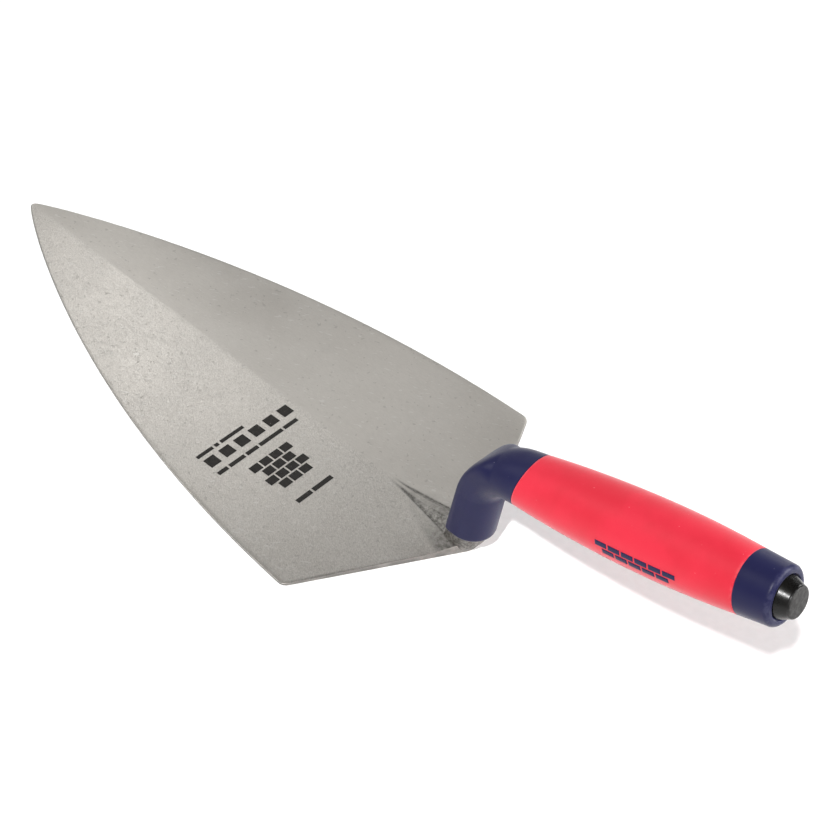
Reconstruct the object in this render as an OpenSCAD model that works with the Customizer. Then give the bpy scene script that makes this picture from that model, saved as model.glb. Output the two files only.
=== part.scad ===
// Brick trowel with a wide heel: one steel forging, a moulded handle over its tang, and a strike cap.
// The blade lies flat on z = 0, its toe towards -X and the butt of the handle towards +X.

/* [Blade] */
// Length of the blade from the point of its toe to the point of its heel
blade_length = 280; // [250:5:320]
// Width across the shoulders
blade_width = 140; // [120:5:160]
// Thickness at the shoulders
edge_thickness = 1.1; // [0.8:0.1:1.5]
// Thickness on the centreline at the toe
toe_thickness = 1.4; // [1.3:0.1:2]
// Thickness on the centreline between the shoulders
spine_thickness = 3.1; // [2.7:0.1:3.6]
// Radius of the two shoulder corners
shoulder_radius = 4; // [2:0.5:8]
// Radius at the point of the heel
heel_radius = 10; // [4:1:14]

/* [Lift] */
// Height of the handle's axis where the grip begins
lift_height = 51.6; // [50:0.2:56]
// Distance from the point of the heel back to where the grip begins
lift_back = 15; // [12:0.5:18]
// Upward slope of the handle, in degrees
handle_slope = 15.2; // [12:0.2:18]
// Slope of the crest of the bolster, in parts of its length
crest_slope = 0.22; // [0.16:0.01:0.26]
// Length of the tang inside the handle
tang_length = 88; // [70:1:92]
// Thickness of the tang where it enters the handle
tang_thickness = 9; // [7:0.5:10]

/* [Hood] */
// Height of the hood's rim above the underside of the blade
rim_height = 10.7; // [9:0.1:12]
// Depth of the hood at its rim, front to back
hood_depth = 16.4; // [15:0.2:18]
// Width of the hood at its rim
hood_width = 19.6; // [19:0.2:22]
// Radius of the nose, where the front of the hood turns into the handle
nose_radius = 35; // [30:1:36]
// Radius of the inside corner behind the hood
crook_radius = 8; // [4:0.5:10]

/* [Handle] */
// Largest diameter of the grip
grip_diameter = 27.7; // [26:0.1:32]
// Length from the start of the grip to the end of the collar
handle_length = 113.3; // [108:0.1:120]
// Length of the hard collar behind the soft sleeve
collar_length = 13.5; // [10:0.5:16]
// Diameter of the collar at its rear end
collar_end_diameter = 22.4; // [21:0.1:24]
// Wall of the soft sleeve
sleeve_wall = 2.4; // [1.8:0.1:3]
// Slant of the sleeve's front edge, in degrees
sleeve_slant = 21; // [10:1:26]
// Height of the raised marks above the sleeve
mark_relief = 0.3; // [0.2:0.1:0.6]

/* [Strike cap] */
// Diameter of the cap at its base
cap_base_diameter = 15.8; // [14:0.2:17]
// Diameter of the cap's end face
cap_face_diameter = 12.2; // [10:0.1:13]
// How far the cap stands out of the collar
cap_height = 4.8; // [4:0.2:8]
// Diameter of the spigot inside the collar
spigot_diameter = 10; // [8:0.5:11]
// Length of the spigot
spigot_length = 14; // [12:0.5:15]

/* [Hidden] */
$fn = 96;

half_width = blade_width / 2;
shoulder_x = 0.872 * blade_length;
edge_steps = 36;
corner_steps = 8;

// Half width of the blade as a share of its full half width, u = 0 at the toe and 1 at the shoulder
function edge_share(u) = 0.17 * sqrt(u) + 1.63 * u - 0.8 * u * u;
function edge_y(u) = half_width * edge_share(u);
function edge_slope(u) = half_width / shoulder_x * (0.085 / sqrt(u) + 1.63 - 1.6 * u);

// The toe is a circle that the two edges leave as tangents at toe_u
toe_u = 0.006;
toe_centre = toe_u * shoulder_x + edge_y(toe_u) * edge_slope(toe_u);
toe_radius = edge_y(toe_u) * sqrt(1 + edge_slope(toe_u) ^ 2);
toe_angle = 90 + atan(edge_slope(toe_u));
toe_x = toe_centre - toe_radius;

// Directions of the outward normals beside the shoulder, and of the straight heel edge
edge_normal = 90 + atan(edge_slope(1));
heel_normal = atan((blade_length - shoulder_x) / half_width);
shoulder_turn = (edge_normal - heel_normal) / 2;
shoulder_bisector = (edge_normal + heel_normal) / 2;
last_u = 1 - shoulder_radius * tan(shoulder_turn) / shoulder_x;
heel_centre = blade_length - heel_radius / cos(heel_normal);

function ray(angle, length) = [length * cos(angle), length * sin(angle)];
function arc(centre, radius, from, to, steps) =
    [for (k = [0 : steps]) centre + ray(from + (to - from) * k / steps, radius)];
function blend(a, b, t) = a + (b - a) * t;
function eased(t) = let (c = min(1, max(0, t))) c * c * (3 - 2 * c);
function mirrored(points) = [for (k = [len(points) - 1 : -1 : 0]) [points[k].x, -points[k].y]];

// The upper half of the outline, from the toe round to the point of the heel
shoulder_centre = [shoulder_x, half_width] - ray(shoulder_bisector, shoulder_radius / cos(shoulder_turn));
edge_half = concat(
    arc([toe_centre, 0], toe_radius, 180 - 180 / corner_steps, toe_angle, corner_steps - 1),
    [for (k = [1 : edge_steps])
        let (u = toe_u + (last_u - toe_u) * (k / edge_steps) ^ 1.5) [u * shoulder_x, edge_y(u)]],
    arc(shoulder_centre, shoulder_radius, edge_normal, heel_normal, corner_steps),
    arc([heel_centre, 0], heel_radius, heel_normal, heel_normal / corner_steps, corner_steps - 1)
);
blade_outline = concat([[toe_x, 0]], edge_half, [[heel_centre + heel_radius, 0]], mirrored(edge_half));

// The two ground faces fall away from the centreline
spine_rise = (spine_thickness - toe_thickness) / shoulder_x;
face_fall = (spine_thickness - edge_thickness) / half_width;
function face_z(x, y) = toe_thickness + spine_rise * x - face_fall * abs(y);

// The bolster's crest leaves the spine bolster_length before the heel and climbs to the lift
bolster_length = 40;
bolster_stations = 12;
bolster_end = 3;
crest_start = 33.5;
crest_softness = 4;
function crest_rise(b) =
    let (d = b - bolster_length + crest_start) crest_slope * (d + sqrt(d * d + crest_softness ^ 2)) / 2;
function crest_half(b) = 0.6 + 0.04 * b;
function foot_half(b) = 1.4 + 0.17 * b;
function dish_half(b) = 1.8 + 0.53 * b - 0.0045 * b * b;
dish_rise = 0.035;
foot_sink = 0.1;
dish_sink = 0.25;
bolster_root = 0.4;

// Frame of the handle: s runs along its axis from the start of the grip, u stands square to it
function on_handle(s, u) =
    [blade_length + lift_back, lift_height] + ray(handle_slope, s) + ray(handle_slope + 90, u);

// Outer radius of the handle: fullest at fullest_s, and finer towards both ends
fullest_s = 60;
front_fineness = 0.00089;
rear_fineness = 0.00115;
function grip_r(s) =
    grip_diameter / 2 - (s < fullest_s ? front_fineness : rear_fineness) * (s - fullest_s) ^ 2;
sleeve_end = handle_length - collar_length;
slant_s = 3.2;
core_lap = 1;
top_s = slant_s + grip_r(slant_s) * tan(sleeve_slant);
bottom_s = slant_s - grip_r(slant_s) * tan(sleeve_slant);
grip_flare = atan(2 * front_fineness * (fullest_s - slant_s));
top_normal = 90 + handle_slope + grip_flare;
under_normal = handle_slope - grip_flare - 90;

// Where two lines meet, each given by its normal's direction and its distance from the origin
function meet(angle_a, dist_a, angle_b, dist_b) =
    [dist_a * sin(angle_b) - dist_b * sin(angle_a), dist_b * cos(angle_a) - dist_a * cos(angle_b)]
    / sin(angle_b - angle_a);
function along(point, angle) = point * ray(angle, 1);

// Side view of the hood: straight front and back, then the nose above and the crook below
front_lean = 6;
back_lean = 4.5;
rim_front = [blade_length - 11.6, rim_height];
rim_back = rim_front + [hood_depth, 0];
nose_centre = meet(
    180 - front_lean, along(rim_front, 180 - front_lean) - nose_radius,
    top_normal, along(on_handle(top_s, grip_r(top_s)), top_normal) - nose_radius);
crook_centre = meet(
    -back_lean, along(rim_back, -back_lean) + crook_radius,
    under_normal, along(on_handle(bottom_s, -grip_r(bottom_s)), under_normal) + crook_radius);
leg_steps = 4;
bend_steps = 14;
rim_squareness = 6;
hood_front = concat(
    [for (k = [0 : leg_steps - 1])
        blend(rim_front, nose_centre + ray(180 - front_lean, nose_radius), k / leg_steps)],
    arc(nose_centre, nose_radius, 180 - front_lean, top_normal, bend_steps),
    [on_handle(top_s, grip_r(top_s))]);
hood_back = concat(
    [for (k = [0 : leg_steps - 1])
        blend(rim_back, crook_centre - ray(-back_lean, crook_radius), k / leg_steps)],
    arc(crook_centre, -crook_radius, -back_lean, under_normal, bend_steps),
    [on_handle(bottom_s, -grip_r(bottom_s))]);
hood_last = len(hood_front) - 1;

// Side view of the shank inside the hood, foot first, each row [front point, back point, half width]
shank_wall = 1.2;
heel = blade_length;
shank_rows = [
    [[heel - 17, 0.2], [heel - 1.8, 0.2], 7.6],
    [[heel - 13.5, 4], [heel + 0.8, 4], 8.2],
    [rim_front + [shank_wall, 0], rim_back - [shank_wall, 0], hood_width / 2 - shank_wall],
    [[heel - 8.2, 24], [heel + 4.4, 24], 8],
    [[heel - 4.6, 36], [heel + 4.6, 33.5], 6.8],
    [on_handle(-13, 4.8), on_handle(-8, -5.4), 5.6],
    [on_handle(-3, tang_thickness / 2 + 0.3), on_handle(-3, -tang_thickness / 2 - 0.3), tang_thickness / 2 + 0.4],
    [on_handle(4, tang_thickness / 2), on_handle(4, -tang_thickness / 2), tang_thickness / 2]
];
tang_tip_share = 0.55;
notch_depth = 1;
notch_width = 6;
notch_places = [24, 42, 60];

// Strike cap and its seat in the collar's end
collar_lip = 2;
seat_depth = 1.6;
seat_gap = 0.5;
spigot_gap = 0.1;
cap_edge = 0.9;
snap_bead = 0.5;
snap_from_base = 9;

// Raised marks: two courses of bricks on the left flank of the grip
mark_start = 44;
mark_drop = 2;
mark_brick = 5;
mark_course = 2;
mark_joint = 0.8;
mark_bricks = 6;

// The origin is under the middle of the whole trowel
butt_x = on_handle(handle_length + cap_height, -cap_face_diameter / 2).x;
middle_x = (toe_x + butt_x) / 2;

blade_steel = [0.74, 0.73, 0.70];
navy = [0.13, 0.14, 0.30];
red = [0.93, 0.19, 0.25];
black = [0.05, 0.05, 0.055];

module centred() {
    translate([-middle_x, 0, 0]) children();
}

// Turns a shape made along +Z into one along the handle's axis, with its +X side down
module along_handle() {
    translate([blade_length + lift_back, 0, lift_height]) rotate([0, 90 - handle_slope, 0]) children();
}

// Closed skin over rings with the same number of points, each anticlockwise about the way they advance
module skin(rings) {
    n = len(rings[0]);
    last = len(rings) - 1;
    sides = [for (r = [0 : last - 1]) for (k = [0 : n - 1])
        let (a = r * n + k, b = r * n + (k + 1) % n) each [[a, a + n, b + n], [a, b + n, b]]];
    polyhedron(
        [for (ring = rings) each ring],
        concat([[for (k = [0 : n - 1]) k]], sides, [[for (k = [n - 1 : -1 : 0]) last * n + k]]),
        convexity = 6);
}

// Cross-section between a front and a back point of the side view: squarer in front, round behind
ring_points = 40;
function signed_power(v, p) = sign(v) * abs(v) ^ p;
function d_ring(front, back, half, squareness, back_share) =
    let (centre = blend(back, front, back_share), step = 360 / ring_points)
    [for (k = [0 : ring_points - 1])
        let (
            c = cos(k * step),
            s = sin(k * step),
            p = c > 0 ? 2 / squareness : 1,
            tip = c > 0 ? front : back,
            at = blend(centre, tip, abs(c) ^ p))
        [at.x, -half * signed_power(s, p), at.y]];

module blade_plate() {
    fall_angle = asin(face_fall / sqrt(1 + spine_rise ^ 2 + face_fall ^ 2));
    difference() {
        linear_extrude(height = spine_thickness + 1) polygon(blade_outline);
        for (side = [-1, 1])
            translate([0, 0, toe_thickness]) rotate([side * fall_angle, -atan(spine_rise), 0])
                translate([-50, -blade_width, 0]) cube([blade_length + 100, 2 * blade_width, 20]);
    }
}

module bolster() {
    length = bolster_length - bolster_end;
    rings = [for (k = [0 : bolster_stations])
        let (
            b = length * k / bolster_stations,
            x = blade_length - bolster_length + b,
            crest = face_z(x, 0) + crest_rise(b),
            foot = face_z(x, foot_half(b)) + dish_rise * b - foot_sink,
            dish = face_z(x, dish_half(b)) - dish_sink)
        [
            [x, dish_half(b), dish],
            [x, foot_half(b), foot],
            [x, crest_half(b), crest],
            [x, -crest_half(b), crest],
            [x, -foot_half(b), foot],
            [x, -dish_half(b), dish],
            [x, -dish_half(b), bolster_root],
            [x, dish_half(b), bolster_root]
        ]];
    intersection() {
        skin(rings);
        linear_extrude(height = lift_height) polygon(blade_outline);
    }
}

// Shank and tang: the part of the forging that the handle is moulded round
module shank_and_tang() {
    skin([for (row = shank_rows) d_ring(row[0], row[1], row[2], 3, 0.55)]);
    difference() {
        along_handle() hull() {
            translate([0, 0, 2.5]) cube([tang_thickness, tang_thickness, 1], center = true);
            translate([0, 0, tang_length - 0.5])
                cube([tang_thickness * tang_tip_share, tang_thickness * tang_tip_share, 1], center = true);
        }
        along_handle() for (s = notch_places, side = [-1, 1])
            translate([0, side * (tang_thickness / 2 + 1.2 - notch_depth - s * 0.02), s])
                cube([tang_thickness + 2, 2.4, notch_width], center = true);
    }
}

module forged_blade() {
    color(blade_steel) centred() union() {
        blade_plate();
        bolster();
        shank_and_tang();
    }
}

profile_steps = 16;
function profile(from, to, inset) =
    [for (k = [0 : profile_steps]) let (s = blend(from, to, k / profile_steps)) [grip_r(s) - inset, s]];

// Solid of revolution of the handle's outer curve, between two places on its axis
module turned(from, to, inset) {
    rotate_extrude() polygon(concat([[0, from]], profile(from, to, inset), [[0, to]]));
}

// The part of the core that the sleeve is moulded on
module core_under_sleeve() {
    turned(bottom_s - core_lap, sleeve_end + core_lap, sleeve_wall);
}

// Everything behind the slanted front edge of the sleeve
module behind_slant() {
    translate([0, 0, slant_s]) rotate([0, sleeve_slant, 0])
        translate([-handle_length, -grip_diameter, 0])
            cube([2 * handle_length, 2 * grip_diameter, 2 * handle_length]);
}

// The bricks, as blocks that reach out of the handle's left flank
module mark_blocks() {
    pitch = mark_brick + mark_joint;
    for (course = [0, 1], k = [0 : mark_bricks - 1 - course])
        translate([
            mark_drop + (course - 0.5) * (mark_course + mark_joint) - mark_course / 2,
            -grip_diameter,
            mark_start + (k + course / 2) * pitch])
            cube([mark_course, grip_diameter - 6, mark_brick]);
}

module raised_marks() {
    along_handle() intersection() {
        turned(mark_start - 2, mark_start + 38, -mark_relief);
        mark_blocks();
    }
}

// Flat-fronted over the legs of the shank, it turns round as it bends back into the handle
module hood() {
    skin([for (k = [0 : hood_last])
        let (
            bend = max(0, (k - leg_steps) / (hood_last - leg_steps)),
            half = blend(hood_width / 2, grip_r(slant_s), bend),
            squareness = blend(rim_squareness, 2, eased((bend - 0.42) / 0.3)))
        d_ring(hood_front[k], hood_back[k], half, squareness, blend(0.6, 0.5, bend))]);
}

module collar() {
    lip_r = collar_end_diameter / 2 - collar_lip;
    lip = arc([lip_r, handle_length - collar_lip], collar_lip, 0, 90, 8);
    along_handle() rotate_extrude()
        polygon(concat([[0, sleeve_end], [grip_r(sleeve_end), sleeve_end]], lip, [[0, handle_length]]));
}

module cap_seat() {
    along_handle() {
        translate([0, 0, handle_length - seat_depth])
            cylinder(d = cap_base_diameter + 2 * seat_gap, h = seat_depth + 1);
        translate([0, 0, handle_length - seat_depth - spigot_length - 1])
            cylinder(d = spigot_diameter + 2 * spigot_gap, h = spigot_length + 2);
        snap_ring(spigot_gap);
    }
}

// Bead round the spigot that snaps into a groove in the collar
module snap_ring(gap) {
    r = spigot_diameter / 2;
    s = handle_length - seat_depth - snap_from_base;
    rotate_extrude() polygon([
        [r - 1, s - 1.5 - gap], [r, s - 1.5 - gap], [r + snap_bead + gap, s],
        [r, s + 1.5 + gap], [r - 1, s + 1.5 + gap]]);
}

module handle_core() {
    color(navy) centred() difference() {
        union() {
            hood();
            along_handle() core_under_sleeve();
            collar();
            raised_marks();
        }
        shank_and_tang();
        cap_seat();
    }
}

module grip_sleeve() {
    color(red) centred() difference() {
        along_handle() intersection() {
            difference() {
                turned(bottom_s - core_lap, sleeve_end, 0);
                core_under_sleeve();
            }
            behind_slant();
        }
        raised_marks();
    }
}

module strike_cap() {
    base_s = handle_length - seat_depth;
    face_s = handle_length + cap_height;
    base_r = cap_base_diameter / 2;
    face_r = cap_face_diameter / 2;
    rim = arc([face_r - cap_edge, face_s - cap_edge], cap_edge, 0, 90, 6);
    color(black) centred() along_handle() union() {
        rotate_extrude() polygon(concat([[0, base_s], [base_r, base_s], [base_r, handle_length]], rim,
            [[0, face_s]]));
        translate([0, 0, base_s - spigot_length]) cylinder(d = spigot_diameter, h = spigot_length + 0.5);
        snap_ring(0);
    }
}

forged_blade();
handle_core();
grip_sleeve();
strike_cap();
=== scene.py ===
"""Brick trowel: detailed pieces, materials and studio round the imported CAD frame.

Shapes are worked out in millimetres from the toe of the blade, and placed in the row frame in metres.
"""

import bmesh
import bpy
import numpy as np
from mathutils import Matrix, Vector, noise


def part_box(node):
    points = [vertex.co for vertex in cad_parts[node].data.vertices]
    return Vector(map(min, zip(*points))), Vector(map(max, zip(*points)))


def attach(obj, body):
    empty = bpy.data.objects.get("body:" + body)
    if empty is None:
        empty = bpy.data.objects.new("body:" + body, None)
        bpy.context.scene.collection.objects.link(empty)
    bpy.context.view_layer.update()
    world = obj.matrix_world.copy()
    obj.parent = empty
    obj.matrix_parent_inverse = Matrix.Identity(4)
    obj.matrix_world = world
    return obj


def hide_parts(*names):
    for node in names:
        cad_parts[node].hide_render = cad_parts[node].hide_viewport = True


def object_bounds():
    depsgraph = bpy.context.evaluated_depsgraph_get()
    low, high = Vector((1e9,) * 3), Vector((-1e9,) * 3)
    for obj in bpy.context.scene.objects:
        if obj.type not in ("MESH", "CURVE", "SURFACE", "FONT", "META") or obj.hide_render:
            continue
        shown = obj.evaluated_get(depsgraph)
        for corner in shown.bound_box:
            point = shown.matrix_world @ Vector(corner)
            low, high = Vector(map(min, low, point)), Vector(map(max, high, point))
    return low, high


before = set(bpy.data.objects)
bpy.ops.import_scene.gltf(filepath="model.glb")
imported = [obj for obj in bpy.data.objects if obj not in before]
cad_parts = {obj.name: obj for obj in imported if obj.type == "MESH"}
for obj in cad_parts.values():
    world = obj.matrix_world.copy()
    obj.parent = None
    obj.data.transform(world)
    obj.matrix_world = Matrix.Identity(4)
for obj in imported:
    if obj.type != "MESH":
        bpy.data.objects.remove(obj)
cad_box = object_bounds()
MM = 0.001

# ---------------------------------------------------------------- sizes, as in the CAD source

BLADE_LENGTH, BLADE_WIDTH = 280.0, 140.0
EDGE_THICKNESS, TOE_THICKNESS, SPINE_THICKNESS = 1.1, 1.4, 3.1
SHOULDER_RADIUS, HEEL_RADIUS = 4.0, 10.0
HALF_WIDTH = BLADE_WIDTH / 2
SHOULDER_X = 0.872 * BLADE_LENGTH

# The edge's half width, as shares of a root, a straight and a square term on the way from toe to shoulder,
# and where on that way the toe's arc ends
EDGE_ROOT, EDGE_STRAIGHT, EDGE_SQUARE = 0.17, 1.63, 0.8
TOE_U = 0.006

LIFT_HEIGHT, LIFT_BACK, HANDLE_SLOPE = 51.6, 15.0, np.radians(15.2)
BOLSTER_LENGTH = 40.0
CREST_SLOPE, CREST_START, CREST_SOFTNESS = 0.22, 33.5, 4.0
TANG_LENGTH, TANG_THICKNESS = 88.0, 9.0
RIM_HEIGHT, HOOD_DEPTH, HOOD_WIDTH = 10.7, 16.4, 19.6
NOSE_RADIUS, CROOK_RADIUS = 35.0, 8.0
FRONT_LEAN, BACK_LEAN = np.radians(6), np.radians(4.5)
GRIP_DIAMETER, HANDLE_LENGTH = 27.7, 113.3
COLLAR_LENGTH, COLLAR_END_DIAMETER, COLLAR_LIP = 13.5, 22.4, 2.0
SLEEVE_SLANT, SLANT_S, SLEEVE_WALL = np.radians(21), 3.2, 2.4
FULLEST_S, FRONT_FINENESS, REAR_FINENESS = 60.0, 0.00089, 0.00115
CAP_BASE, CAP_FACE, CAP_HEIGHT, CAP_EDGE, SEAT_DEPTH, SEAT_GAP = 15.8, 12.2, 4.8, 0.9, 1.6, 0.5
SPIGOT_DIAMETER, SPIGOT_LENGTH, BEAD_HEIGHT, BEAD_FROM_BASE = 10.0, 14.0, 0.5, 9.0


# ---------------------------------------------------------------- outline of the blade

def edge_y(u):
    """Half width of the blade at u, from 0 at the toe to 1 at the shoulder."""
    return HALF_WIDTH * (EDGE_ROOT * np.sqrt(u) + EDGE_STRAIGHT * u - EDGE_SQUARE * u * u)


def edge_slope(u):
    """How fast that half width grows along the blade."""
    return HALF_WIDTH / SHOULDER_X * (EDGE_ROOT / 2 / np.sqrt(u) + EDGE_STRAIGHT - 2 * EDGE_SQUARE * u)


def ray(angle, length=1.0):
    return length * np.array([np.cos(angle), np.sin(angle)])


def arc(centre, radius, start, end, steps):
    angles = np.linspace(start, end, steps + 1)
    return np.asarray(centre) + radius * np.stack([np.cos(angles), np.sin(angles)], 1)


TOE_CENTRE = TOE_U * SHOULDER_X + edge_y(TOE_U) * edge_slope(TOE_U)
TOE_RADIUS = edge_y(TOE_U) * np.sqrt(1 + edge_slope(TOE_U) ** 2)
TOE_X = TOE_CENTRE - TOE_RADIUS
EDGE_NORMAL = np.pi / 2 + np.arctan(edge_slope(1.0))
HEEL_NORMAL = np.arctan((BLADE_LENGTH - SHOULDER_X) / HALF_WIDTH)

TOE_STEPS, EDGE_STEPS, SHOULDER_STEPS, SIDE_STEPS, HEEL_STEPS = 10, 150, 14, 85, 16
TOE_CROWDING = 1.35  # above 1, the steps along the edge get shorter towards the toe


def outline_half():
    """The +Y half of the outline from the toe to the point of the heel, with its outward normals."""
    turn, bisector = (EDGE_NORMAL - HEEL_NORMAL) / 2, (EDGE_NORMAL + HEEL_NORMAL) / 2
    last_u = 1 - SHOULDER_RADIUS * np.tan(turn) / SHOULDER_X
    shoulder = np.array([SHOULDER_X, HALF_WIDTH]) - ray(bisector, SHOULDER_RADIUS / np.cos(turn))
    heel_centre = BLADE_LENGTH - HEEL_RADIUS / np.cos(HEEL_NORMAL)
    u = TOE_U + (last_u - TOE_U) * np.linspace(0, 1, EDGE_STEPS + 1)[1:] ** TOE_CROWDING
    heel_arc = arc([heel_centre, 0], HEEL_RADIUS, HEEL_NORMAL, 0, HEEL_STEPS)
    shoulder_arc = arc(shoulder, SHOULDER_RADIUS, EDGE_NORMAL, HEEL_NORMAL, SHOULDER_STEPS)
    side = np.linspace(0, 1, SIDE_STEPS + 1)[1:-1, None]
    straight = shoulder_arc[-1] + side * (heel_arc[0] - shoulder_arc[-1])
    points = np.concatenate([
        arc([TOE_CENTRE, 0], TOE_RADIUS, np.pi, np.pi / 2 + np.arctan(edge_slope(TOE_U)), TOE_STEPS),
        np.stack([u * SHOULDER_X, edge_y(u)], 1)[:-1],
        shoulder_arc, straight, heel_arc])
    step = np.gradient(points, axis=0)
    normals = np.stack([-step[:, 1], step[:, 0]], 1)
    normals[0], normals[-1] = [-1, 0], [1, 0]
    return points, normals / np.linalg.norm(normals, axis=1)[:, None]


# ---------------------------------------------------------------- top of the blade and its bolster

SPINE_RISE = (SPINE_THICKNESS - TOE_THICKNESS) / SHOULDER_X
FACE_FALL = (SPINE_THICKNESS - EDGE_THICKNESS) / HALF_WIDTH
BOLSTER_X = BLADE_LENGTH - BOLSTER_LENGTH
BOLSTER_FADE = (-9, 3)  # the bolster comes in over this stretch round its start
DISH_SLOPE = 0.035
CREASE_DEPTH, CREASE_WIDTH, CREASE_OFFSET = 0.3, 0.42, 0.1

# How far the line on the ridge, on the crest's edge, at its foot and at the dish's end is rounded
RIDGE_SOFTNESS, CREST_EDGE_SOFTNESS, FOOT_SOFTNESS, DISH_SOFTNESS = 0.6, 0.35, 0.3, 1.6


def smoothstep(low, high, x):
    """From 0 at low to 1 at high."""
    t = np.clip((np.asarray(x, float) - low) / (high - low), 0, 1)
    return t * t * (3 - 2 * t)


def ramp_from(x, start, softness):
    """A smooth version of max(0, x - start)."""
    return (x - start + np.sqrt((x - start) ** 2 + softness ** 2)) / 2


def crest_rise(b):
    """Height of the crest over the ground faces, at b behind the bolster's start."""
    return CREST_SLOPE * ramp_from(b, BOLSTER_LENGTH - CREST_START, CREST_SOFTNESS)


def bolster_widths(reach):
    """Half widths of the crest, of its foot and of the dish, at reach behind the bolster's start."""
    return 0.55 + 0.04 * reach, 1.3 + 0.17 * reach, 2.2 + 0.53 * reach - 0.0045 * reach ** 2


def top_z(x, y):
    """Height of the ground faces, the crest of the bolster, its flanks and the dish beside them."""
    a = np.sqrt(y * y + RIDGE_SOFTNESS ** 2) - RIDGE_SOFTNESS
    face = TOE_THICKNESS + SPINE_RISE * x - FACE_FALL * a
    b, off = x - BOLSTER_X, np.abs(y)
    reach = np.maximum(b, 0)
    crest_half, foot_half, dish_half = bolster_widths(reach)
    crest, dish = crest_rise(b), DISH_SLOPE * reach
    flank_slope = (crest - dish) / (foot_half - crest_half)
    dish_slope = dish / (dish_half - foot_half)
    rise = (crest - flank_slope * ramp_from(off, crest_half, CREST_EDGE_SOFTNESS)
            + (flank_slope - dish_slope) * ramp_from(off, foot_half, FOOT_SOFTNESS)
            + dish_slope * ramp_from(off, dish_half, DISH_SOFTNESS))
    crease = np.exp(-((off - foot_half - CREASE_OFFSET) / CREASE_WIDTH) ** 2)
    crease = CREASE_DEPTH * smoothstep(-2, 6, b) * crease
    return face + smoothstep(*BOLSTER_FADE, b) * (np.maximum(rise, 0) - crease)


# ---------------------------------------------------------------- handle axis

AXIS = np.array([np.cos(HANDLE_SLOPE), 0, np.sin(HANDLE_SLOPE)])
UP = np.array([-np.sin(HANDLE_SLOPE), 0, np.cos(HANDLE_SLOPE)])
START = np.array([BLADE_LENGTH + LIFT_BACK, 0, LIFT_HEIGHT])


def on_handle(s, u):
    """Side view point at s along the handle's axis and u above it."""
    p = START + s * AXIS + u * UP
    return np.array([p[0], p[2]])


def around_handle(r, angle, s):
    """Points at radius r, angle from straight down and s along the axis."""
    r, angle, s = np.broadcast_arrays(np.asarray(r, float), np.asarray(angle, float), np.asarray(s, float))
    return (START + s[..., None] * AXIS - (r * np.cos(angle))[..., None] * UP
            + (r * np.sin(angle))[..., None] * np.array([0, 1.0, 0]))


def grip_r(s):
    """Radius of the grip at s along the handle's axis."""
    s = np.asarray(s, float)
    fineness = np.where(s < FULLEST_S, FRONT_FINENESS, REAR_FINENESS)
    return GRIP_DIAMETER / 2 - fineness * (s - FULLEST_S) ** 2


SLEEVE_END = HANDLE_LENGTH - COLLAR_LENGTH
FRONT_R = float(grip_r(SLANT_S))
TOP_S = SLANT_S + FRONT_R * np.tan(SLEEVE_SLANT)
BOTTOM_S = SLANT_S - FRONT_R * np.tan(SLEEVE_SLANT)
GRIP_FLARE = np.arctan(2 * FRONT_FINENESS * (FULLEST_S - SLANT_S))


# ---------------------------------------------------------------- meshes

shift_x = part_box("forged_blade")[0].x / MM - TOE_X


def build(name, parts, material, replaces=(), crease_deg=40):
    """One piece from parts, each (points in millimetres, faces, {mask name: values})."""
    points = np.concatenate([p for p, _, _ in parts])
    faces, offset = [], 0
    for p, f, _ in parts:
        faces += [[i + offset for i in face] for face in f]
        offset += len(p)
    placed = (points + [shift_x, 0, 0]) * MM
    mesh = bpy.data.meshes.new(name)
    mesh.from_pydata(placed.tolist(), [], faces)
    for key in sorted({k for _, _, masks in parts for k in masks}):
        values = np.concatenate([np.broadcast_to(m.get(key, 0.0), len(p)) for p, _, m in parts])
        mesh.attributes.new(key, "FLOAT", "POINT").data.foreach_set("value", values.astype(np.float32))
    bm = bmesh.new()
    bm.from_mesh(mesh)
    bmesh.ops.recalc_face_normals(bm, faces=bm.faces)
    bm.to_mesh(mesh)
    bm.free()
    mesh.shade_smooth()
    mesh.set_sharp_from_angle(angle=np.radians(crease_deg))
    mesh.materials.append(material)
    obj = bpy.data.objects.new(name, mesh)
    bpy.context.scene.collection.objects.link(obj)
    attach(obj, "root")
    for node in replaces:
        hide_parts(node)


def around(count):
    """Equal steps round a full turn."""
    return np.linspace(0, 2 * np.pi, count + 1)[:-1]


def skin(rings, caps=(True, True)):
    """Faces over equal closed rings, given as an array (ring, point, 3)."""
    count, n = rings.shape[:2]
    k = np.arange(n)
    faces = []
    for r in range(count - 1):
        a, b = r * n + k, r * n + np.roll(k, -1)
        faces += np.stack([a, a + n, b + n, b], 1).tolist()
    if caps[0]:
        faces.append(list(range(n)))
    if caps[1]:
        faces.append([(count - 1) * n + i for i in range(n)])
    return rings.reshape(-1, 3), faces


def lump(points, scale, seed):
    """Smooth noise in [-1, 1] at points in millimetres."""
    offset = Vector((seed * 7.3, seed * 3.1, seed * 5.7))
    return np.array([noise.noise(Vector(p) / scale + offset) for p in points])


def even_ring(curve, count):
    """A closed curve resampled at equal steps along its length, from its first point."""
    closed = np.concatenate([curve, curve[:1]])
    length = np.concatenate([[0], np.cumsum(np.linalg.norm(np.diff(closed, axis=0), axis=1))])
    at = np.linspace(0, length[-1], count + 1)[:-1]
    return np.stack([np.interp(at, length, closed[:, i]) for i in range(3)], 1)


FINE_STEPS = 1440


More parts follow.
